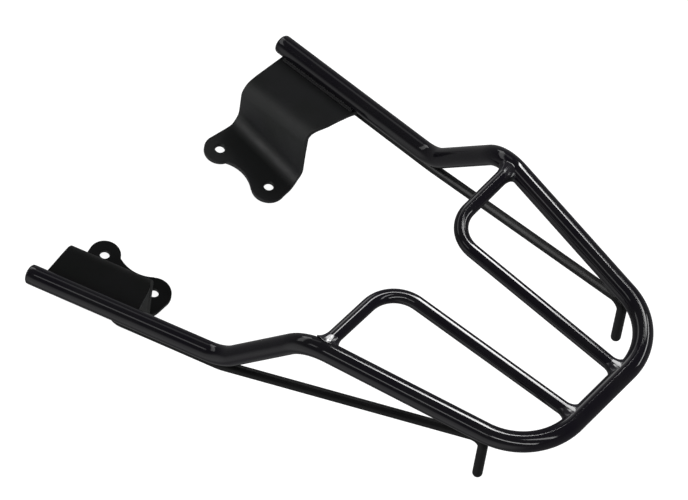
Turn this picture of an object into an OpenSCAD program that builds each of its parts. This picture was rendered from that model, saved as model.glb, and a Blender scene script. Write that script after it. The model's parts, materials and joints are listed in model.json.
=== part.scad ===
// Rear luggage rack for a motorcycle: a one-piece bent outer tube with a plug
// in each end, two bent inner bars, two support rods that end in cord hooks,
// and two Z-bent sheet brackets, all welded together.
// Millimetres. +Z up, +Y towards the front of the motorcycle, +X to its right.
// Origin: centre of the four bolt holes, on the seating face of the brackets.

/* [Outer tube] */
// Outside diameter of the outer tube
tube_d = 20; // [16:0.5:22]
// Wall of the outer tube
tube_wall = 1.5; // [1:0.1:2.5]
// Height of the platform's tube axis over the bracket seating face
platform_z = 230; // [200:1:250]
// Half of the platform's width at its front, tube axis
front_half_w = 144.4; // [130:0.2:155]
// Half of the platform's width at the sharp rear corners, tube axis
rear_half_w = 94; // [85:0.5:105]
// Length of the platform from its front bend to the rear cross tube
platform_l = 239; // [220:0.2:260]
// Radius of the four bends in the arms, on the tube axis
arm_bend_r = 50; // [40:1:60]
// Radius of the two rear corners, on the tube axis
corner_r = 68; // [55:1:75]

/* [Arms] */
// Front end of the right arm, tube axis: sideways
arm_x = 186.5; // [175:0.5:190]
// Front end of the right arm, tube axis: forwards
arm_y = 45; // [40:1:55]
// Front end of the right arm, tube axis: height
arm_z = 70; // [64:0.5:74]
// Lower bend of the arm: sideways
knee_x = 156.5; // [150:0.1:160]
// Lower bend of the arm: forwards (negative is rearwards)
knee_y = -171.3; // [-180:0.1:-160]
// Lower bend of the arm: height
knee_z = 123.6; // [118:0.1:128]

/* [Inner bars] */
// Outside diameter of the inner bars
bar_d = 14; // [10:0.5:16]
// Wall of the inner bars
bar_wall = 1.5; // [1:0.1:2.5]
// Half of the gap between the long legs at the front bend
bar_front_x = 41.5; // [36:0.5:50]
// Half of the gap between the long legs at the rear cross tube
bar_rear_x = 33.4; // [28:0.2:40]
// Distance of the short leg behind the platform's front bend
bar_front_y = 16; // [14:0.5:24]
// Radius of the bend, on the bar's axis
bar_bend_r = 34; // [25:1:40]

/* [Hook rods] */
// Diameter of the rods
rod_d = 10; // [8:0.5:12]
// Where the rod starts along the arm, from the arm's front end
rod_start = 93; // [90:1:130]
// Where the rod leaves the arm, from the arm's front end
rod_leave = 219; // [205:1:222]
// Lean of the rod inwards from straight under the arm, degrees
rod_lean = 2; // [0:1:20]
// Sideways place of the hook
hook_x = 103; // [100:0.5:106]
// Hook behind the platform's front bend
hook_y = 185; // [180:0.5:190]
// Height of the hook's corner under the tube axis
hook_drop = 13; // [12:0.5:16]
// Length of the hook below the tube axis
hook_l = 79; // [60:1:85]
// Radius of the hook's bend, on the rod's axis
hook_r = 10; // [9:0.5:12]

/* [Brackets] */
// Thickness of the bracket sheet
plate_t = 5; // [4:0.5:6]
// Distance of the web's inner face from the arm's axis
web_x = 61; // [50:1:64]
// Inside radius of the two bends in the sheet
plate_r = 14; // [5:0.5:16]
// Depth of the upper flange's top face under the arm's axis
flange_drop = 6.4; // [4:0.2:8]
// Bolt hole spacing across the motorcycle
bolt_x = 172; // [160:1:176]
// Bolt hole spacing along the motorcycle
bolt_y = 64; // [58:1:68]
// Diameter of the bolt holes
bolt_d = 10; // [8:0.5:11]

/* [Hidden] */
$fn = 48;
fit = 0.02;                      // room left between pieces that touch

kink_y = -252;                   // the platform's front bend
rear_y = kink_y - platform_l;    // axis of the rear cross tube
F  = [arm_x, arm_y, arm_z];
K1 = [knee_x, knee_y, knee_z];
K2 = [front_half_w, kink_y, platform_z];
C  = [rear_half_w, rear_y, platform_z];

function unit(v) = v / norm(v);

// arm frame of the right arm: along the tube, level and inwards, and up
arm_dir = unit(K1 - F);
plan_dir = unit([arm_dir.x, arm_dir.y, 0]);
inwards = cross(plan_dir, [0, 0, 1]);
arm_up = cross(inwards, arm_dir);
arm_slope = asin(arm_dir.z);
plan_turn = atan2(inwards.y, inwards.x);

// side tube of the platform
side_dir = unit(C - K2);
function side_x(y) = K2.x + side_dir.x / side_dir.y * (y - kink_y);

// inner bar, right side
bar_y = kink_y - bar_front_y;
bar_path = [[side_x(bar_y), bar_y, platform_z],
            [bar_front_x, bar_y - 1.5, platform_z],
            [bar_rear_x, rear_y, platform_z]];

// hook rod, right side
rod_off = (tube_d / 2 + rod_d / 2 + 0.05) *
          (sin(rod_lean) * inwards - cos(rod_lean) * arm_up);
hook_corner = [hook_x, kink_y - hook_y, platform_z - hook_drop];
rod_path = [F + arm_dir * rod_start + rod_off,
            F + arm_dir * rod_leave + rod_off,
            hook_corner,
            [hook_x + 0.3, hook_corner.y - 0.5, platform_z - hook_l + rod_d / 2]];
rod_r = [0, 60, hook_r, 0];

// ---- swept round sections -------------------------------------------------
function turn(p, i) = acos(unit(p[i] - p[i-1]) * unit(p[i+1] - p[i]));
function cut(p, r, i) = (i == 0 || i == len(p) - 1) ? 0 : r[i] * tan(turn(p, i) / 2);

module along(a, b) {             // local +Z runs from a to b
    z = unit(b - a);
    h = abs(z.z) > 0.9 ? [0, 1, 0] : [0, 0, 1];
    x = unit(cross(h, z));
    y = cross(z, x);
    multmatrix([[x.x, y.x, z.x, a.x], [x.y, y.y, z.y, a.y],
                [x.z, y.z, z.z, a.z], [0, 0, 0, 1]]) children();
}

// Round bar of diameter d along the corner points p with bend radii r, its two
// ends lengthened by grow. Each straight and each bend stands in the frame of
// the one before it. A straight runs lap into its bends, and a bend is swell
// fuller, so that the pieces join into one solid.
lap = 0.3;
swell = 0.05;
module link(p, r, d, grow, i, x) {
    last = i == len(p) - 2;
    u = unit(p[i+1] - p[i]);
    l = norm(p[i+1] - p[i]) - cut(p, r, i) - cut(p, r, i + 1);
    before = i == 0 ? grow : lap;
    translate([0, 0, -before]) cylinder(h = before + l + (last ? grow : lap), d = d);
    if (!last) {
        v = unit(p[i+2] - p[i+1]);
        xn = unit(v - (v * u) * u);
        t = turn(p, i + 1);
        br = r[i+1];
        translate([0, 0, l]) rotate([0, 0, i == 0 ? 0 : atan2(cross(x, xn) * u, x * xn)])
            translate([br, 0, 0]) {
                multmatrix([[-1, 0, 0, 0], [0, 0, 1, 0], [0, 1, 0, 0], [0, 0, 0, 1]])
                    rotate_extrude(angle = t, $fn = 120)
                        translate([br, 0]) circle(d = d + 2 * swell);
                rotate([0, t, 0]) translate([-br, 0, 0])
                    link(p, r, d, grow, i + 1, xn * cos(t) - u * sin(t));
            }
    }
}
module sweep(p, r, d, grow = 0) {
    u = unit(p[1] - p[0]);
    v = unit(p[2] - p[1]);
    x = unit(v - (v * u) * u);
    y = cross(u, x);
    multmatrix([[x.x, y.x, u.x, p[0].x], [x.y, y.y, u.y, p[0].y],
                [x.z, y.z, u.z, p[0].z], [0, 0, 0, 1]])
        link(p, r, d, grow, 0, x);
}

// ---- outer tube -----------------------------------------------------------
module half_tube(d, grow)
    sweep([[0, rear_y, platform_z], C, K2, K1, F + arm_dir * plug_head],
          [0, corner_r, arm_bend_r, arm_bend_r, 0], d, grow);
module whole_tube(d, grow) {
    half_tube(d, grow);
    mirror([1, 0, 0]) half_tube(d, grow);
    translate([-20, rear_y, platform_z]) rotate([0, 90, 0]) cylinder(h = 40, d = d);
}
module main_tube() color("#17161c") difference() {
    whole_tube(tube_d, 0);
    whole_tube(tube_d - 2 * tube_wall, 1);
}

// ---- end plug -------------------------------------------------------------
// moulded plug that closes the front end of the tube: domed head and plain stem
plug_head = 2.5;                 // thickness of the head at its middle
plug_stem = 14;                  // length of the stem inside the tube
plug_dome = 40;                  // radius of the head's face
module end_plug() color("#141414") along(F, K1) union() {
    intersection() {
        cylinder(h = plug_head - fit, d = tube_d - 0.4);
        translate([0, 0, plug_dome]) sphere(r = plug_dome, $fn = 96);
    }
    translate([0, 0, plug_head - 1])
        cylinder(h = plug_stem + 1, d = tube_d - 2 * tube_wall - 0.1);
}
module end_plug_right() end_plug();
module end_plug_left() mirror([1, 0, 0]) end_plug();

// ---- inner bar ------------------------------------------------------------
module bar_solid(d = bar_d) sweep(bar_path, [0, bar_bend_r, 0], d);
// the straight stretches of the outer tube that the bar runs into
module bar_neighbours(gap) {
    along(K2, C) cylinder(h = 60, d = tube_d + 2 * gap);
    translate([0, rear_y, platform_z]) rotate([0, 90, 0])
        cylinder(h = 70, d = tube_d + 2 * gap);
}
module inner_bar() color("#1b1a20") difference() {
    bar_solid();
    bar_solid(bar_d - 2 * bar_wall);
    bar_neighbours(fit);
}
module inner_bar_right() inner_bar();
module inner_bar_left() mirror([1, 0, 0]) inner_bar();

// ---- hook rod -------------------------------------------------------------
module rod_solid() {
    sweep(rod_path, rod_r, rod_d);
    translate(rod_path[3]) sphere(d = rod_d + 2 * swell);
}
// The rod's front end is cut at a slant, so that it runs out against the arm.
rod_slant = 30;
rod_side = unit(cross(arm_dir, rod_off));
rod_down = unit(rod_off);
cut_p = rod_path[0] - rod_down * (rod_d / 2 - 1);
cut_u = cos(rod_slant) * arm_dir + sin(rod_slant) * rod_down;
cut_n = cos(rod_slant) * rod_down - sin(rod_slant) * arm_dir;
module hook_rod() color("#232227") difference() {
    rod_solid();
    multmatrix([[rod_side.x, cut_u.x, cut_n.x, cut_p.x], [rod_side.y, cut_u.y, cut_n.y, cut_p.y],
                [rod_side.z, cut_u.z, cut_n.z, cut_p.z], [0, 0, 0, 1]])
        translate([-15, -15, 0]) cube([30, 60, 30]);
}
module hook_rod_right() hook_rod();
module hook_rod_left() mirror([1, 0, 0]) hook_rod();

// ---- bracket --------------------------------------------------------------
// Right bracket in the arm's plan frame: +X inwards, +Y rearwards, +Z up,
// origin at the front end of the arm's axis.
low_z = -arm_z;                  // seating face
flange_z = -flange_drop;
module in_arm_frame() translate(F) rotate([0, 0, plan_turn]) children();
function to_plan(p) = [ (p - F) * inwards, (p - F) * plan_dir ];
h_front = to_plan([bolt_x / 2, bolt_y / 2, 0]);
h_rear = to_plan([bolt_x / 2, -bolt_y / 2, 0]);
web_out = web_x - plate_t;
ro = plate_r + plate_t;
split_z = -34;                   // where the two formed halves of the web meet

// upper flange, bend and upper web, drawn across the arm and run along it
module upper_form() {
    rotate([arm_slope, 0, 0]) rotate([90, 0, 0]) mirror([0, 0, 1])
    translate([0, 0, -20]) linear_extrude(170) {
        translate([5.9, flange_z - plate_t]) square([web_x - ro - 5.9, plate_t]);
        translate([web_out, -90]) square([plate_t, 90 + flange_z - ro]);
        difference() {
            translate([web_x - ro, flange_z - ro]) intersection() {
                circle(r = ro, $fn = 64);
                square([ro, ro]);
            }
            translate([web_x - ro, flange_z - ro]) circle(r = plate_r, $fn = 64);
        }
    }
}
// lower web, bend and lower flange, level
module lower_form() {
    rotate([90, 0, 0]) mirror([0, 0, 1])
    translate([0, 0, -10]) linear_extrude(140) {
        translate([web_out + ro, low_z]) square([70, plate_t]);
        translate([web_out, low_z + ro]) square([plate_t, 90]);
        difference() {
            translate([web_out + ro, low_z + ro]) intersection() {
                circle(r = ro, $fn = 64);
                translate([-ro, -ro]) square([ro, ro]);
            }
            translate([web_out + ro, low_z + ro]) circle(r = plate_r, $fn = 64);
        }
    }
}
// outline of the upper flange and web, seen from above
module upper_outline() polygon([
    [4, 10], [46, 11.5], [54, 11], [75, 11], [75, 103], [56, 103],
    [52.5, 104.2], [48, 106.6], [44, 108.6], [38, 110.2], [26, 112], [14, 114.5], [4, 118]]);
// outline of the lower flange, seen from above
lobe1 = 16;
lobe2 = 17.5;
dip_r = 36;
module lower_outline() {
    difference() {
        polygon([[40, 11], [60, 11], [70, 12.5], [80, 12], [h_front.x, h_front.y - lobe1],
                 [h_front.x + lobe1 * 0.717, h_front.y + lobe1 * 0.696],
                 [h_rear.x + lobe2 * 0.855, h_rear.y - lobe2 * 0.519],
                 [h_rear.x, h_rear.y + lobe2], [74, 105.5], [62, 103], [40, 103]]);
        translate([98 + dip_r, 60.5]) circle(r = dip_r, $fn = 96);
    }
    translate(h_front) circle(r = lobe1, $fn = 64);
    translate(h_rear) circle(r = lobe2, $fn = 64);
}
module bracket() color("#2b2c30") difference() {
    in_arm_frame() union() {
        intersection() {
            upper_form();
            translate([0, 0, split_z]) linear_extrude(90) upper_outline();
        }
        intersection() {
            lower_form();
            translate([0, 0, low_z - 5]) linear_extrude(split_z - low_z + 5) lower_outline();
        }
    }
    along(F - arm_dir * 10, K1) cylinder(h = 200, d = tube_d + 2 * fit);
    for (y = [-1, 1]) translate([bolt_x / 2, y * bolt_y / 2, -1])
        cylinder(h = plate_t + 2, d = bolt_d);
}
module bracket_right() bracket();
module bracket_left() mirror([1, 0, 0]) bracket();

// ---- weld beads -----------------------------------------------------------
weld = "#1e1e22";
// a round-ended bead of diameter d from a to b
module bead(a, b, d) {
    along(a, b) cylinder(h = norm(b - a), d = d, $fn = 32);
    translate(a) sphere(d = d + 2 * swell, $fn = 32);
    translate(b) sphere(d = d + 2 * swell, $fn = 32);
}
function arm_at(s, inw, up) = F + arm_dir * s + inwards * inw + arm_up * up;

module bracket_weld() color(weld) difference() {
    union() {
        bead(arm_at(16, tube_d / 2 - 1.2, flange_z + 0.8),
             arm_at(114, tube_d / 2 - 1.2, flange_z + 0.8), 7);
        bead(arm_at(16, 5.4, flange_z - plate_t + 0.6),
             arm_at(86, 5.4, flange_z - plate_t + 0.6), 5);
    }
    bracket();
    along(F - arm_dir * 10, K1) cylinder(h = 200, d = tube_d);
}
module bracket_weld_right() bracket_weld();
module bracket_weld_left() mirror([1, 0, 0]) bracket_weld();

// flared fillet where a bar's end meets the outer tube
module flare(a, dir) {
    along(a + dir * 3, a + dir * 20)
        cylinder(h = 12.5, d1 = tube_d - 1, d2 = bar_d - 0.6, $fn = 64);
}
module bar_front_weld() color(weld) difference() {
    flare(bar_path[0], unit(bar_path[1] - bar_path[0]));
    bar_solid();
    bar_neighbours(0);
}
module bar_front_weld_right() bar_front_weld();
module bar_front_weld_left() mirror([1, 0, 0]) bar_front_weld();

module bar_rear_weld() color(weld) difference() {
    flare(bar_path[2], unit(bar_path[1] - bar_path[2]));
    bar_solid();
    bar_neighbours(0);
}
module bar_rear_weld_right() bar_rear_weld();
module bar_rear_weld_left() mirror([1, 0, 0]) bar_rear_weld();

// beads on both sides of the groove between the arm and the rod under it
function groove(s, k) = F + arm_dir * s + rod_side * (3.3 * k) +
    rod_off * ((tube_d / 2 + 0.3) / (tube_d / 2 + rod_d / 2));
module rod_front_weld() color(weld) difference() {
    for (k = [-1, 1]) {
        bead(groove(rod_start + 17, k), groove(rod_start + 40, k), 4.6);
        bead(groove(rod_leave - 38, k), groove(rod_leave - 15, k), 4.6);
    }
    along(F, K1) cylinder(h = 260, d = tube_d);
    along(rod_path[0], rod_path[1]) cylinder(h = rod_leave - rod_start - 6, d = rod_d);
}
module rod_front_weld_right() rod_front_weld();
module rod_front_weld_left() mirror([1, 0, 0]) rod_front_weld();

// plug of weld between the side tube and the rod where its hook begins
rod_dir = unit(rod_path[2] - rod_path[1]);
plug_p = rod_path[2] - rod_dir * (cut(rod_path, rod_r, 2) + 3);
plug_q = [side_x(plug_p.y), plug_p.y, platform_z];
plug_u = unit(plug_q - plug_p);
module rod_rear_weld() color(weld) difference() {
    bead(plug_p + plug_u * (rod_d / 2 + 0.8) - side_dir * 9,
         plug_p + plug_u * (rod_d / 2 + 0.8) + side_dir * 5, 8.5);
    along(K2, C) cylinder(h = 200, d = tube_d);
    sweep(rod_path, rod_r, rod_d);
}
module rod_rear_weld_right() rod_rear_weld();
module rod_rear_weld_left() mirror([1, 0, 0]) rod_rear_weld();

main_tube();
inner_bar_left();
inner_bar_right();
hook_rod_left();
hook_rod_right();
end_plug_left();
end_plug_right();
bracket_left();
bracket_right();
bracket_weld_left();
bracket_weld_right();
bar_front_weld_left();
bar_front_weld_right();
bar_rear_weld_left();
bar_rear_weld_right();
rod_front_weld_left();
rod_front_weld_right();
rod_rear_weld_left();
rod_rear_weld_right();
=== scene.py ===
import bpy
import bmesh
import json
import math
from mathutils import Matrix, Quaternion, Vector

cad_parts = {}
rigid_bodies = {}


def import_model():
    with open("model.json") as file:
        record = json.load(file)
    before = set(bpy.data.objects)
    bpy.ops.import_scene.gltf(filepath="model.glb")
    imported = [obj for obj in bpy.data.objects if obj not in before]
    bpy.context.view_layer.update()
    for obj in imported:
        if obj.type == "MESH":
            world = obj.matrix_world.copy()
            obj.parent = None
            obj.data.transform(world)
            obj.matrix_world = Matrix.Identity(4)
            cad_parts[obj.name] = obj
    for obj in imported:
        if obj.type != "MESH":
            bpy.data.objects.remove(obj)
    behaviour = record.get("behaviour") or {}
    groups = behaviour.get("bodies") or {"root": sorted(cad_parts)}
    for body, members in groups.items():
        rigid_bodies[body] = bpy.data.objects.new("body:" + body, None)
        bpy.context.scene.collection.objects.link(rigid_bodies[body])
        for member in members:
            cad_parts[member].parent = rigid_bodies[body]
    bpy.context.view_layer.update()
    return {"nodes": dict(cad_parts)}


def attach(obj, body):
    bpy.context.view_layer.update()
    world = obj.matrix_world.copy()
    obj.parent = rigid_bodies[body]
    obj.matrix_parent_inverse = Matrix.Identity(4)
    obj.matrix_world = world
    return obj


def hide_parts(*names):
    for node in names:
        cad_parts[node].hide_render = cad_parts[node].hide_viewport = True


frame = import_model()
MM = 0.001


def mm(*a):
    return Vector(a) * MM


# ---- the object's own sizes, as in its CAD, in millimetres ------------------
TUBE_R, TUBE_WALL = 10.0, 1.5
BAR_R, ROD_R = 7.0, 5.0
PLATFORM_Z = 230.0
KINK_Y, REAR_Y = -252.0, -491.0
ARM_BEND, CORNER, BAR_BEND, ROD_BEND, HOOK_BEND = 50.0, 68.0, 34.0, 60.0, 10.0
F = Vector((186.5, 45.0, 70.0))
K1 = Vector((156.5, -171.3, 123.6))
K2 = Vector((144.4, KINK_Y, PLATFORM_Z))
C = Vector((94.0, REAR_Y, PLATFORM_Z))
PLATE_T, FLANGE_H = 5.0, -6.4
PLUG_HEAD, PLUG_STEM, PLUG_DOME = 2.5, 14.0, 40.0
ROD_START, ROD_LEAVE = 93.0, 219.0

arm_dir = (K1 - F).normalized()
plan_dir = Vector((arm_dir.x, arm_dir.y, 0)).normalized()
inwards = plan_dir.cross(Vector((0, 0, 1)))
arm_up = inwards.cross(arm_dir)
side_dir = (C - K2).normalized()


def side_x(y):
    return K2.x + side_dir.x / side_dir.y * (y - KINK_Y)


BAR_PATH = [
    Vector((side_x(KINK_Y - 16.0), KINK_Y - 16.0, PLATFORM_Z)),
    Vector((41.5, KINK_Y - 17.5, PLATFORM_Z)),
    Vector((33.4, REAR_Y, PLATFORM_Z)),
]
ROD_LEAN = math.radians(2)
rod_off = (TUBE_R + ROD_R + 0.05) * (
    math.sin(ROD_LEAN) * inwards - math.cos(ROD_LEAN) * arm_up
)
HOOK_CORNER = Vector((103.0, KINK_Y - 185.0, PLATFORM_Z - 13.0))
ROD_PATH = [
    F + arm_dir * ROD_START + rod_off,
    F + arm_dir * ROD_LEAVE + rod_off,
    HOOK_CORNER,
    Vector((103.3, HOOK_CORNER.y - 0.5, PLATFORM_Z - 79 + ROD_R)),
]
ROD_SLANT = math.radians(30)


def flip(v):
    return Vector((-v.x, v.y, v.z))


# ---- mesh helpers -----------------------------------------------------------
def make_object(name, verts, faces, material, replaces=(), sharp=None):
    me = bpy.data.meshes.new(name)
    me.from_pydata([tuple(v * MM) for v in verts], [], faces)
    bm = bmesh.new()
    bm.from_mesh(me)
    bmesh.ops.remove_doubles(bm, verts=bm.verts, dist=1e-7)
    bmesh.ops.recalc_face_normals(bm, faces=bm.faces)
    bm.to_mesh(me)
    bm.free()
    for p in me.polygons:
        p.use_smooth = True
    if sharp is not None:
        me.set_sharp_from_angle(angle=math.radians(sharp))
    me.materials.append(material)
    ob = bpy.data.objects.new(name, me)
    bpy.context.scene.collection.objects.link(ob)
    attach(ob, "root")
    if replaces:
        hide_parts(*replaces)
    return ob


def centreline(points, radii, step=6.0, turn_step=2.5):
    """(point, tangent) along the corner points, with each corner bent to its radius."""
    n = len(points)

    def turn(i):
        a = (points[i] - points[i - 1]).normalized()
        b = (points[i + 1] - points[i]).normalized()
        return a.angle(b)

    def cut(i):
        return 0.0 if i in (0, n - 1) else radii[i] * math.tan(turn(i) / 2)

    out = []
    for i in range(n - 1):
        u = (points[i + 1] - points[i]).normalized()
        p0 = points[i] + u * cut(i)
        p1 = points[i + 1] - u * cut(i + 1)
        k = max(1, math.ceil((p1 - p0).length / step))
        for j in range(1 if out else 0, k + 1):
            out.append((p0.lerp(p1, j / k), u.copy()))
        if i < n - 2:
            v = (points[i + 2] - points[i + 1]).normalized()
            x = (v - u * v.dot(u)).normalized()
            t, r = turn(i + 1), radii[i + 1]
            k = max(2, math.ceil(math.degrees(t) / turn_step))
            for j in range(1, k + 1):
                a = t * j / k
                out.append(
                    (
                        p1 + u * (r * math.sin(a)) + x * (r * (1 - math.cos(a))),
                        u * math.cos(a) + x * math.sin(a),
                    )
                )
    return out


def frames(line, first=None):
    """A pair of cross directions for each point of the line, carried along it without twist."""
    t0 = line[0][1]
    a = first or (Vector((0, 0, 1)) if abs(t0.z) < 0.9 else Vector((0, 1, 0)))
    nrm = (a - t0 * a.dot(t0)).normalized()
    out, last = [], t0
    for p, t in line:
        q = last.rotation_difference(t)
        nrm = q @ nrm
        nrm = (nrm - t * nrm.dot(t)).normalized()
        out.append((p, t, nrm, t.cross(nrm)))
        last = t
    return out


def ring(p, n, b, r, seg):
    return [
        p + (n * math.cos(2 * math.pi * k / seg) + b * math.sin(2 * math.pi * k / seg)) * r
        for k in range(seg)
    ]


def skin(rings, closed=False, cap0=None, cap1=None):
    """Quads between rings of equal length; closed joins the last to the first, caps are centre points."""
    seg = len(rings[0])
    verts = [v for r in rings for v in r]
    faces = []
    m = len(rings)
    for i in range(m if closed else m - 1):
        a, b = i * seg, ((i + 1) % m) * seg
        for k in range(seg):
            l = (k + 1) % seg
            faces.append((a + k, a + l, b + l, b + k))
    for cap, i in ((cap0, 0), (cap1, m - 1)):
        if cap is not None:
            verts.append(cap)
            c, a = len(verts) - 1, i * seg
            for k in range(seg):
                faces.append((a + k, a + (k + 1) % seg, c))
    return verts, faces


def tube_rings(line, outer, inner, seg, edge=0.35):
    """Rings out along the outer skin, over a rounded rim and back along the bore."""
    fr = frames(line)
    p0, t0, n0, b0 = fr[0]
    p1, t1, n1, b1 = fr[-1]

    def rim(p, t, n, b, side):
        rows = []
        for a in (0, 30, 60, 90):
            s, c = math.sin(math.radians(a)), math.cos(math.radians(a))
            rows.append(ring(p + t * (side * edge * (1 - s)), n, b, outer - edge * (1 - c), seg))
        for a in (0, 45, 90):
            s, c = math.sin(math.radians(a)), math.cos(math.radians(a))
            e = edge * 0.6
            rows.append(ring(p + t * (side * e * (1 - c)), n, b, inner + e * (1 - s), seg))
        return rows

    rows = rim(p0, t0, n0, b0, 1)[:4][::-1]
    inside_start = rim(p0, t0, n0, b0, 1)[4:]
    for p, t, n, b in fr[1:-1]:
        rows.append(ring(p, n, b, outer, seg))
    rows += rim(p1, t1, n1, b1, -1)[:4]
    rows += rim(p1, t1, n1, b1, -1)[4:]
    for p, t, n, b in fr[-2:0:-1]:
        rows.append(ring(p, n, b, inner, seg))
    rows += inside_start[::-1]
    return rows


def onto_tube(p, d, a, u, r):
    """Where the line from p along d first meets the cylinder of radius r round the axis a, u."""
    w = p - a
    dp = d - u * d.dot(u)
    wp = w - u * w.dot(u)
    A, B, Cc = dp.dot(dp), 2 * dp.dot(wp), wp.dot(wp) - r * r
    disc = max(B * B - 4 * A * Cc, 0.0)
    s = (-B - math.sqrt(disc)) / (2 * A)
    return p + d * s


# ---- materials --------------------------------------------------------------
def paint(
    name,
    colour,
    colour2,
    rough,
    specular,
    peel=0.5,
    peel_size=1.6,
    grain=0.0,
    grain_size=0.35,
):
    """Black paint over steel: two close tints in soft patches, uneven gloss, orange peel and a fine grain."""
    m = bpy.data.materials.new(name)
    m.use_nodes = True
    nt = m.node_tree
    nt.nodes.clear()
    out = nt.nodes.new("ShaderNodeOutputMaterial")
    sh = nt.nodes.new("ShaderNodeBsdfPrincipled")
    nt.links.new(sh.outputs[0], out.inputs[0])
    sh.inputs["Specular IOR Level"].default_value = specular
    tc = nt.nodes.new("ShaderNodeTexCoord")

    def noise(scale, detail, rough_=0.5):
        n = nt.nodes.new("ShaderNodeTexNoise")
        n.inputs["Scale"].default_value = scale
        n.inputs["Detail"].default_value = detail
        n.inputs["Roughness"].default_value = rough_
        nt.links.new(tc.outputs["Object"], n.inputs["Vector"])
        return n

    def ramp(src, lo, hi, p0=0.3, p1=0.7):
        r = nt.nodes.new("ShaderNodeMapRange")
        r.interpolation_type = "SMOOTHSTEP"
        r.inputs["From Min"].default_value = p0
        r.inputs["From Max"].default_value = p1
        r.inputs["To Min"].default_value = lo
        r.inputs["To Max"].default_value = hi
        nt.links.new(src, r.inputs["Value"])
        return r

    patch = noise(22.0, 3.0)
    mix = nt.nodes.new("ShaderNodeMix")
    mix.data_type = "RGBA"
    mix.inputs["A"].default_value = (*colour, 1)
    mix.inputs["B"].default_value = (*colour2, 1)
    nt.links.new(ramp(patch.outputs["Fac"], 0.0, 1.0, 0.35, 0.65).outputs[0], mix.inputs["Factor"])
    nt.links.new(mix.outputs["Result"], sh.inputs["Base Color"])

    haze = noise(55.0, 4.0, 0.6)
    nt.links.new(
        ramp(haze.outputs["Fac"], rough[0], rough[1]).outputs[0], sh.inputs["Roughness"]
    )

    peel_n = noise(1000.0 / peel_size, 1.0, 0.4)
    bump = nt.nodes.new("ShaderNodeBump")
    bump.inputs["Strength"].default_value = peel
    bump.inputs["Distance"].default_value = 0.00004
    nt.links.new(peel_n.outputs["Fac"], bump.inputs["Height"])
    last = bump
    if grain:
        g = noise(1000.0 / grain_size, 2.0, 0.6)
        bump2 = nt.nodes.new("ShaderNodeBump")
        bump2.inputs["Strength"].default_value = grain
        bump2.inputs["Distance"].default_value = 0.00003
        nt.links.new(g.outputs["Fac"], bump2.inputs["Height"])
        nt.links.new(bump.outputs[0], bump2.inputs["Normal"])
        last = bump2
    nt.links.new(last.outputs[0], sh.inputs["Normal"])
    return m


TUBE = paint("gloss_black_tube", (0.0042, 0.0036, 0.0058), (0.0060, 0.0056, 0.0070),
             (0.070, 0.110), 0.28, peel=0.05, peel_size=2.2)
ROD = paint("semi_gloss_black_rod", (0.0030, 0.0030, 0.0032), (0.0046, 0.0046, 0.0047),
            (0.34, 0.44), 0.11, peel=0.4, grain=0.35)
SHEET = paint("satin_black_sheet", (0.0080, 0.0088, 0.0085), (0.0098, 0.0102, 0.0110),
              (0.48, 0.58), 0.27, peel=0.4, grain=0.5)
WELD = paint("painted_weld", (0.0045, 0.0042, 0.0056), (0.0065, 0.0065, 0.0070),
             (0.11, 0.18), 0.30, peel=0.4, peel_size=1.1, grain=0.15)
PLUG = paint("black_plastic_plug", (0.0070, 0.0070, 0.0072), (0.0095, 0.0095, 0.0095),
             (0.38, 0.50), 0.35, peel=0.3, grain=0.6)


# ---- outer tube -------------------------------------------------------------
half = [F + arm_dir * PLUG_HEAD, K1, K2, C]
whole = half + [flip(v) for v in reversed(half)]
line = centreline(whole, [0, ARM_BEND, ARM_BEND, CORNER, CORNER, ARM_BEND, ARM_BEND, 0], 9.0, 2.5)
v, f = skin(tube_rings(line, TUBE_R, TUBE_R - TUBE_WALL, 64), closed=True)
make_object("outer_tube", v, f, TUBE, ["main_tube"])


# ---- inner bars -------------------------------------------------------------
def bar(side, name):
    fl = flip if side < 0 else (lambda q: q)
    path = [fl(q) for q in BAR_PATH]
    line = centreline(path, [0, BAR_BEND, 0], 7.0, 2.5)
    fr = frames(line, Vector((0, 0, 1)))
    rows = [ring(p, n, b, BAR_R, 48) for p, t, n, b in fr]
    sink = TUBE_R - 0.5
    a0, u0 = fl(K2), (fl(C) - fl(K2)).normalized()
    a1, u1 = Vector((0, REAR_Y, PLATFORM_Z)), Vector((1, 0, 0))
    d0 = (path[0] - path[1]).normalized()
    d1 = (path[2] - path[1]).normalized()

    def far(row, a, u, d):
        # rings that lie inside the outer tube give way to one that is coped to it
        return all((q - a - u * (q - a).dot(u)).length > TUBE_R + 0.5 for q in row)

    keep = [i for i, row in enumerate(rows) if far(row, a0, u0, d0) and far(row, a1, u1, d1)]
    rows = rows[keep[0]: keep[-1] + 1]
    start = [onto_tube(q, d0, a0, u0, sink) for q in rows[0]]
    end = [onto_tube(q, d1, a1, u1, sink) for q in rows[-1]]
    rows = [start] + rows + [end]
    c0 = sum(start, Vector()) / len(start)
    c1 = sum(end, Vector()) / len(end)
    v, f = skin(rows, cap0=c0, cap1=c1)
    return make_object(name + "_visual", v, f, TUBE, [name], sharp=50)


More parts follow.
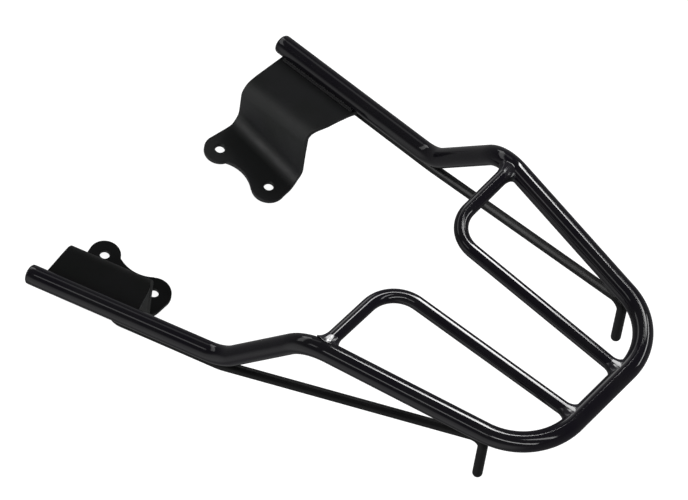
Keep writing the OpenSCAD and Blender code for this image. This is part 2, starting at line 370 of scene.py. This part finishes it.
# ---- hook rods --------------------------------------------------------------
def rod(side, name):
    fl = flip if side < 0 else (lambda q: q)
    line = centreline([fl(q) for q in ROD_PATH], [0, ROD_BEND, HOOK_BEND, 0], 6.0, 4.0)
    fr = frames(line)
    seg = 48
    e = 0.5
    p, t, n, b = fr[0]
    down = fl(rod_off).normalized()

    def slant(off):
        # how far along the rod the slanted cut lies, for a line at this offset from the axis
        d = off.dot(down) + ROD_R - 1
        return max(0.0, d * math.cos(ROD_SLANT) / math.sin(ROD_SLANT))

    def cut_ring(r, back):
        out = []
        for k in range(seg):
            a = 2 * math.pi * k / seg
            off = (n * math.cos(a) + b * math.sin(a)) * r
            out.append(p + off + t * (slant(off) + back))
        return out

    rows = [cut_ring(r, 0.0) for r in (1.2, 2.4, 3.6)]
    for a in (90, 60, 30, 0):
        s, c = math.sin(math.radians(a)), math.cos(math.radians(a))
        rows.append(cut_ring(ROD_R - e * (1 - c), e * (1 - s)))
    for q, t2, n2, b2 in fr[1:-1]:
        if (q - p).dot(t) > 18.0:
            rows.append(ring(q, n2, b2, ROD_R, seg))
    p2, t2, n2, b2 = fr[-1]
    for a in range(0, 90, 9):
        s, c = math.sin(math.radians(a)), math.cos(math.radians(a))
        rows.append(ring(p2 + t2 * (ROD_R * s), n2, b2, ROD_R * c, seg))
    v, f = skin(rows, cap0=p + t * slant(Vector((0, 0, 0))), cap1=p2 + t2 * ROD_R)
    return make_object(name + "_visual", v, f, ROD, [name], sharp=50)


# ---- end plugs ---------------------------------------------------------------
def end_plug(side, name):
    """A domed head with a rounded rim on a stem that fills the tube's bore."""
    fl = flip if side < 0 else (lambda q: q)
    p, t = fl(F), fl(arm_dir)
    n = Vector((0, 0, 1))
    n = (n - t * n.dot(t)).normalized()
    b = t.cross(n)
    r0, rim = TUBE_R - 0.2, 0.7
    dome = lambda r: PLUG_DOME - math.sqrt(PLUG_DOME ** 2 - r * r)
    prof = [(r, dome(r)) for r in (1.5, 3.0, 4.5, 6.0, 7.2, 8.2)]
    z0 = dome(r0 - rim)
    for a in (90, 70, 50, 30, 10):
        a = math.radians(a)
        prof.append((r0 - rim + rim * math.cos(a), z0 + rim * (1 - math.sin(a))))
    prof += [(r0, PLUG_HEAD - 0.25), (r0 - 0.15, PLUG_HEAD - 0.02)]
    bore = TUBE_R - TUBE_WALL - 0.05
    prof += [(bore, PLUG_HEAD - 0.02), (bore, PLUG_HEAD + PLUG_STEM - 0.6), (bore - 0.6, PLUG_HEAD + PLUG_STEM)]
    rows = [ring(p + t * z, n, b, r, 64) for r, z in prof]
    v, f = skin(rows, cap0=p.copy(), cap1=p + t * (PLUG_HEAD + PLUG_STEM))
    return make_object(name + "_visual", v, f, PLUG, [name], sharp=40)


# ---- weld fillets round the bars' ends --------------------------------------
def saddle_weld(name, node, axis_p, axis_u, bar_p, bar_d, reach, spread, side=1):
    """A ring of weld where a bar meets the tube: flared onto both, rippled all round."""
    seg, prof = 180, 12
    e1 = (axis_u - bar_d * axis_u.dot(bar_d)).normalized()
    e2 = bar_d.cross(e1)
    rows = []
    for k in range(seg):
        a = 2 * math.pi * k / seg
        radial = e1 * math.cos(a) + e2 * math.sin(a)
        q = bar_p + radial * BAR_R
        x = onto_tube(q + bar_d * 60, -bar_d, axis_p, axis_u, TUBE_R)
        # the same place on the tube as length and angle, moved outwards by the spread
        w = x - axis_p
        along = w.dot(axis_u)
        rad = (w - axis_u * along).normalized()
        across = axis_u.cross(rad)
        go = (radial - rad * radial.dot(rad)).normalized()
        lump = 1 + 0.10 * math.sin(2 * a + 0.7) + 0.06 * math.sin(5 * a + 1.9)
        g = spread * lump
        du, da = go.dot(axis_u) * g, go.dot(across) * g / TUBE_R
        rad2 = rad * math.cos(da) + across * math.sin(da)
        toe = axis_p + axis_u * (along + du) + rad2 * (TUBE_R - 0.12)
        top = x + bar_d * (reach * lump) - radial * 0.12
        ctrl = x + bar_d * 1.5 + radial * 0.6
        phase = a * 15
        row = []
        for j in range(prof + 1):
            s = j / prof
            pt = toe * (1 - s) ** 2 + ctrl * (2 * s * (1 - s)) + top * s ** 2
            nrm = (radial * (0.4 + 0.6 * s) + rad * (1 - 0.6 * s)).normalized()
            amp = 0.045 * math.sin(math.pi * s) ** 0.7
            row.append(pt + nrm * (amp * math.sin(phase + 5.0 * (s - 0.5) ** 2)))
        # the hidden foot of the bead, just inside the two pieces
        row.append(x - radial * 0.8 - rad * 0.3)
        row.append(x - rad * 0.9 + radial * 0.2)
        rows.append(row)
    verts = [q for r in rows for q in r]
    m = len(rows[0])
    faces = []
    for k in range(seg):
        a, b = k * m, ((k + 1) % seg) * m
        for j in range(m):
            l = (j + 1) % m
            faces.append((a + j, b + j, b + l, a + l))
    return make_object(name, verts, faces, WELD, [node])


# ---- weld beads along a groove ----------------------------------------------
def bead_along(verts, faces, p0, p1, toe_a, toe_b, crown, foot, pitch=2.6, ripple=0.16, seed=0.0):
    """A rippled bead from p0 to p1. toe_a, toe_b, crown and foot are offsets from that line."""
    length = (p1 - p0).length
    u = (p1 - p0).normalized()
    n = max(8, int(length / 0.45))
    prof = 10
    base = len(verts)
    m = prof + 2
    for i in range(n + 1):
        s = length * i / n
        ends = min(s, length - s)
        k = math.sqrt(max(0.0, 1 - (1 - min(1.0, (ends + 0.02) / 3.2)) ** 2))
        wob = 1 + 0.07 * math.sin(s * 0.43 + seed) + 0.05 * math.sin(s * 1.31 + 2 * seed)
        mid = (toe_a + toe_b) * 0.5
        ta = mid + (toe_a - mid) * k * wob
        tb = mid + (toe_b - mid) * k * wob
        cr = mid + (crown - mid) * (0.15 + 0.85 * k)
        for j in range(prof + 1):
            w = j / prof
            q = ta * (1 - w) ** 2 + cr * (2 * w * (1 - w)) + tb * w ** 2
            out = (crown - foot).normalized()
            lag = 1.5 * (1 - (2 * w - 1) ** 2)
            amp = ripple * math.sin(math.pi * w) ** 0.6 * k
            q = q + out * (amp * math.sin(2 * math.pi * (s - lag) / pitch + seed))
            verts.append(p0 + u * s + q)
        verts.append(p0 + u * s + mid + (foot - mid) * k)
    for i in range(n):
        a, b = base + i * m, base + (i + 1) * m
        for j in range(m):
            l = (j + 1) % m
            faces.append((a + j, b + j, b + l, a + l))
    faces.append(tuple(base + j for j in range(m)))
    faces.append(tuple(base + n * m + j for j in reversed(range(m))))


def build_welds(side, tag):
    fl = flip if side < 0 else (lambda q: q)
    # short leg onto the side tube
    p0, p1, p2 = [fl(q) for q in BAR_PATH]
    saddle_weld("bar_front_bead_" + tag, "bar_front_weld_" + tag,
                fl(K2), (fl(C) - fl(K2)).normalized(), p0, (p1 - p0).normalized(), 9.5, 4.8)
    saddle_weld("bar_rear_bead_" + tag, "bar_rear_weld_" + tag,
                Vector((0, REAR_Y, PLATFORM_Z)), Vector((1, 0, 0)), p2, (p1 - p2).normalized(), 9.5, 4.8)

    # bracket onto the arm, above and below the flange
    fd, iw, up = fl(arm_dir), fl(inwards), fl(arm_up)

    def at(s, i, h):
        return fl(F) + fd * s + iw * i + up * h

    vs, fs = [], []
    top, bot = FLANGE_H, FLANGE_H - PLATE_T
    ang = math.asin((top + 3.8) / TUBE_R)
    bead_along(
        vs, fs, at(14, 0, 0), at(116, 0, 0),
        (iw * math.cos(ang) + up * math.sin(ang)) * (TUBE_R - 0.1),
        iw * 12.6 + up * (top - 0.1),
        iw * 11.9 + up * (top + 3.1),
        iw * 7.6 + up * (top + 0.2), seed=0.6 + side)
    bead_along(
        vs, fs, at(15, 0, 0), at(87, 0, 0),
        iw * 2.6 - up * 9.55,
        iw * 7.9 + up * (bot + 0.1),
        iw * 3.7 + up * (bot - 2.0),
        iw * 6.7 + up * (bot + 1.6), seed=2.1 + side)
    make_object("bracket_bead_" + tag, vs, fs, WELD, ["bracket_weld_" + tag])

    # rod onto the arm: two short beads on each side of the groove
    off = fl(rod_off)
    down = off.normalized()
    sid = fd.cross(down).normalized()
    ro = off.length
    vs, fs = [], []
    for k in (-1, 1):
        for s0, s1 in ((ROD_START + 15, ROD_START + 42), (ROD_LEAVE - 40, ROD_LEAVE - 13)):
            aa, ab = math.radians(31), math.radians(52)
            ta = sid * (k * TUBE_R * math.sin(aa)) + down * (TUBE_R * math.cos(aa) - 0.1)
            tb = down * ro + sid * (k * ROD_R * math.sin(ab)) - down * (ROD_R * math.cos(ab) + 0.0)
            tb = tb - (tb - down * ro).normalized() * 0.1
            mid = (ta + tb) * 0.5
            bead_along(vs, fs, fl(F) + fd * s0, fl(F) + fd * s1, ta, tb,
                       mid + sid * (k * 1.1), mid - sid * (k * 1.6), pitch=2.2, ripple=0.12,
                       seed=k + s0)
    make_object("rod_front_bead_" + tag, vs, fs, WELD, ["rod_front_weld_" + tag])


for side, tag in ((1, "right"), (-1, "left")):
    bar(side, "inner_bar_" + tag)
    rod(side, "hook_rod_" + tag)
    end_plug(side, "end_plug_" + tag)
    build_welds(side, tag)


# ---- brackets: the sheet with its edges broken -------------------------------
def edged_copy(node, name, width, material):
    src = frame["nodes"][node]
    me = src.data.copy()
    me.name = name
    bm = bmesh.new()
    bm.from_mesh(me)
    bmesh.ops.remove_doubles(bm, verts=bm.verts, dist=2e-6)
    bmesh.ops.dissolve_limit(
        bm, angle_limit=math.radians(0.6), verts=bm.verts, edges=bm.edges,
        use_dissolve_boundaries=False, delimit=set())
    # edges shorter than the bevel's own steps are closed up first, so that it can't fold over
    bmesh.ops.remove_doubles(bm, verts=bm.verts, dist=0.3 * MM)
    bmesh.ops.recalc_face_normals(bm, faces=bm.faces)
    edges = [e for e in bm.edges if len(e.link_faces) == 2 and e.calc_face_angle(0) > math.radians(40)]
    bmesh.ops.bevel(bm, geom=edges, offset=width * MM, offset_type="OFFSET", segments=3,
                    profile=0.5, affect="EDGES", clamp_overlap=False)
    bm.to_mesh(me)
    bm.free()
    for p in me.polygons:
        p.use_smooth = True
    me.materials.clear()
    me.materials.append(material)
    ob = bpy.data.objects.new(name, me)
    bpy.context.scene.collection.objects.link(ob)
    wn = ob.modifiers.new("even", "WEIGHTED_NORMAL")
    wn.keep_sharp = True
    wn.weight = 100
    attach(ob, "root")
    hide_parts(node)
    return ob


for tag in ("right", "left"):
    edged_copy("bracket_" + tag, "bracket_sheet_" + tag, 0.6, SHEET)
    node = frame["nodes"]["rod_rear_weld_" + tag]
    node.data.materials.clear()
    node.data.materials.append(WELD)


# ---- floor, light and camera -------------------------------------------------
def floor_material(name, colour, glow):
    """Pale sweep that is lit evenly: part of its brightness is its own glow."""
    m = bpy.data.materials.new(name)
    m.use_nodes = True
    b = m.node_tree.nodes["Principled BSDF"]
    b.inputs["Base Color"].default_value = (*colour, 1)
    b.inputs["Roughness"].default_value = 0.9
    b.inputs["Specular IOR Level"].default_value = 0.1
    b.inputs["Emission Color"].default_value = (1, 1, 1, 1)
    b.inputs["Emission Strength"].default_value = glow
    return m


me = bpy.data.meshes.new("floor")
E = 20.0
me.from_pydata([(-E, -E, 0), (E, -E, 0), (E, E, 0), (-E, E, 0)], [], [(0, 1, 2, 3)])
me.materials.append(floor_material("pale_floor", (0.22, 0.22, 0.22), 0.92))
floor = bpy.data.objects.new("floor", me)
floor.location = (0, -0.2, -0.0008)
floor.visible_glossy = False
bpy.context.scene.collection.objects.link(floor)

# a pale backdrop all round, for the camera only; gloss sees the dark studio behind it
me = bpy.data.meshes.new("backdrop")
bm = bmesh.new()
bmesh.ops.create_uvsphere(bm, u_segments=48, v_segments=24, radius=19.0)
bm.to_mesh(me)
bm.free()
me.materials.append(floor_material("pale_backdrop", (0.0, 0.0, 0.0), 1.0))
backdrop = bpy.data.objects.new("backdrop", me)
for flag in ("glossy", "diffuse", "transmission", "volume_scatter", "shadow"):
    setattr(backdrop, "visible_" + flag, False)
bpy.context.scene.collection.objects.link(backdrop)

TARGET = Vector((-0.0393, -0.2102, 0.2229))
back = Vector((-0.461, -0.291, 0.839)).normalized()
right = Vector((0.646, -0.758, 0.092))
right = (right - back * right.dot(back)).normalized()
up = back.cross(right)


def lamp(name, direction, distance, wide, high, radiance, colour=(1, 1, 1), aim=None):
    """Soft box seen from the rack along direction; wide across the X-Z plane, high along Y."""
    li = bpy.data.lights.new(name, "AREA")
    li.shape = "RECTANGLE"
    li.size = 2 * distance * math.tan(math.radians(wide / 2))
    li.size_y = 2 * distance * math.tan(math.radians(high / 2))
    li.energy = radiance * math.pi * li.size * li.size_y
    li.color = colour
    ob = bpy.data.objects.new(name, li)
    d = direction.normalized()
    across = Vector((0, 1, 0)).cross(d).normalized()
    tall = d.cross(across)
    ob.matrix_world = Matrix((
        (across.x, tall.x, d.x, 0), (across.y, tall.y, d.y, 0),
        (across.z, tall.z, d.z, 0), (0, 0, 0, 1)))
    ob.location = (aim or TARGET) + d * distance
    ob.visible_camera = False
    bpy.context.scene.collection.objects.link(ob)
    return ob


PLATFORM = Vector((0.0, -0.37, 0.23))
BRACKETS = Vector((0.0, 0.0, 0.04))
key = lamp("key", Vector((0.674, 0.281, 0.674)), 10.0, 27.0, 4.2, 39.0, aim=PLATFORM)
front = lamp("front_panel", Vector((0.46, 0.83, 0.32)), 10.0, 16, 14, 3.0, aim=PLATFORM)
arm_panel = lamp("arm_panel", Vector((0.46, 0.66, 0.59)), 10.0, 16, 14, 0.7, aim=PLATFORM)
corner = lamp("corner_panel", Vector((0.63, 0.13, 0.76)), 10.0, 9, 8, 11.0, aim=PLATFORM)
lamp("left_panel_a", Vector((-0.683, 0.04, 0.729)), 10.0, 9, 14, 4.0, aim=PLATFORM)
lamp("left_panel_b", Vector((-0.519, 0.52, 0.695)), 10.0, 10, 16, 2.2, aim=PLATFORM)
sheen = {
    tag: lamp("sheet_panel_" + tag, Vector((-0.80, 0.29, 0.45)), 10.0, 34, 40, power, aim=BRACKETS)
    for tag, power in (("right", 4.4), ("left", 2.0))
}
soft_top = lamp("sheet_top", Vector((0.30, 0.25, 0.90)), 10.0, 50, 50, 0.20, aim=BRACKETS)
weld_panel = lamp("weld_panel", Vector((0.57, 0.36, 0.74)), 10.0, 36, 36, 20.0, aim=PLATFORM)

bar_panel = lamp("bar_panel", Vector((0.455, 0.20, 0.868)), 10.0, 9, 12, 22.0, aim=PLATFORM)
rod_panel = lamp("rod_panel", Vector((-0.20, 0.90, 0.38)), 10.0, 60, 45, 6.5, aim=PLATFORM)
edge_panel = lamp("edge_panel", Vector((0.62, -0.05, 0.78)), 10.0, 20, 20, 7.0, aim=BRACKETS)

# long strips behind and in front of the rack, which draw its shape in views from its sides and its front
rims = [
    lamp("rim_left", Vector((-0.52, -0.50, 0.69)), 10.0, 7, 48, 13.0, aim=PLATFORM),
    lamp("rim_right", Vector((0.78, -0.45, 0.43)), 10.0, 7, 44, 12.0, aim=PLATFORM),
    lamp("rim_top", Vector((0.02, -0.50, 0.87)), 10.0, 6, 40, 8.0, aim=PLATFORM),
    lamp("rim_front", Vector((0.0, 0.90, 0.43)), 10.0, 40, 12, 2.0, aim=PLATFORM),
    lamp("rim_high", Vector((0.70, 0.02, 0.71)), 10.0, 7, 13, 11.0, aim=PLATFORM),
]

# the satin sheet has soft boxes of its own, and the narrow strips are for the gloss tubes
only_sheet = bpy.data.collections.new("lit_by_sheet_top")
not_sheet = bpy.data.collections.new("not_lit_by_strips")
for tag in ("right", "left"):
    ob = bpy.data.objects["bracket_sheet_" + tag]
    only_sheet.objects.link(ob)
    not_sheet.objects.link(ob)
for link in not_sheet.collection_objects:
    link.light_linking.link_state = "EXCLUDE"
for ob in [key, front, arm_panel, corner] + rims:
    ob.light_linking.receiver_collection = not_sheet
for tag, ob in sheen.items():
    one = bpy.data.collections.new("lit_by_sheet_panel_" + tag)
    one.objects.link(bpy.data.objects["bracket_sheet_" + tag])
    ob.light_linking.receiver_collection = one
soft_top.light_linking.receiver_collection = only_sheet

# a wider box picks out the short weld fillets, as the key is too narrow for them
only_weld = bpy.data.collections.new("lit_by_weld_panel")
for ob in bpy.data.objects:
    if ob.type == "MESH" and "_bead_" in ob.name:
        only_weld.objects.link(ob)
weld_panel.light_linking.receiver_collection = only_weld

# and three boxes light one piece each, as that piece is the lighter one of its pair in the photo
for ob, piece in (
    (bar_panel, "inner_bar_left_visual"),
    (rod_panel, "hook_rod_right_visual"),
    (edge_panel, "bracket_sheet_right"),
):
    one = bpy.data.collections.new("lit_by_" + ob.name)
    one.objects.link(bpy.data.objects[piece])
    ob.light_linking.receiver_collection = one

world = bpy.data.worlds.new("studio")
bpy.context.scene.world = world
world.use_nodes = True
nt = world.node_tree
bg = nt.nodes["Background"]
tc = nt.nodes.new("ShaderNodeTexCoord")
sep = nt.nodes.new("ShaderNodeSeparateXYZ")
nt.links.new(tc.outputs["Generated"], sep.inputs[0])


def fade(socket, p0, p1, v0, v1):
    r = nt.nodes.new("ShaderNodeMapRange")
    r.interpolation_type = "SMOOTHSTEP"
    for key, v in (("From Min", p0), ("From Max", p1), ("To Min", v0), ("To Max", v1)):
        r.inputs[key].default_value = v
    nt.links.new(socket, r.inputs["Value"])
    return r.outputs[0]


def sum_of(a, b, op="ADD"):
    m = nt.nodes.new("ShaderNodeMath")
    m.operation = op
    nt.links.new(a, m.inputs[0])
    nt.links.new(b, m.inputs[1])
    return m.outputs[0]


# dark studio: dim overhead, a little lighter below, and a bright strip low on the left
height = fade(sep.outputs["Z"], -0.15, 0.45, 0.20, 0.10)
left = fade(sep.outputs["X"], -0.86, -0.48, 0.78, 0.0)
low = fade(sep.outputs["Z"], -0.05, 0.30, 1.0, 0.0)
glow = sum_of(height, sum_of(left, low, "MULTIPLY"))
nt.links.new(glow, bg.inputs["Strength"])
bg.inputs["Color"].default_value = (1.0, 1.0, 1.0, 1)

cam_data = bpy.data.cameras.new("camera")
cam = bpy.data.objects.new("camera", cam_data)
bpy.context.scene.collection.objects.link(cam)
DIST = 6.0
cam_data.sensor_width = 36.0
cam_data.lens = 1062.5 * DIST * 36.0 / 688.0
cam_data.clip_start, cam_data.clip_end = 0.1, 60.0
cam.matrix_world = Matrix((
    (right.x, up.x, back.x, TARGET.x + back.x * DIST),
    (right.y, up.y, back.y, TARGET.y + back.y * DIST),
    (right.z, up.z, back.z, TARGET.z + back.z * DIST),
    (0, 0, 0, 1)))
bpy.context.scene.camera = cam
bpy.context.scene.view_settings.view_transform = "Standard"
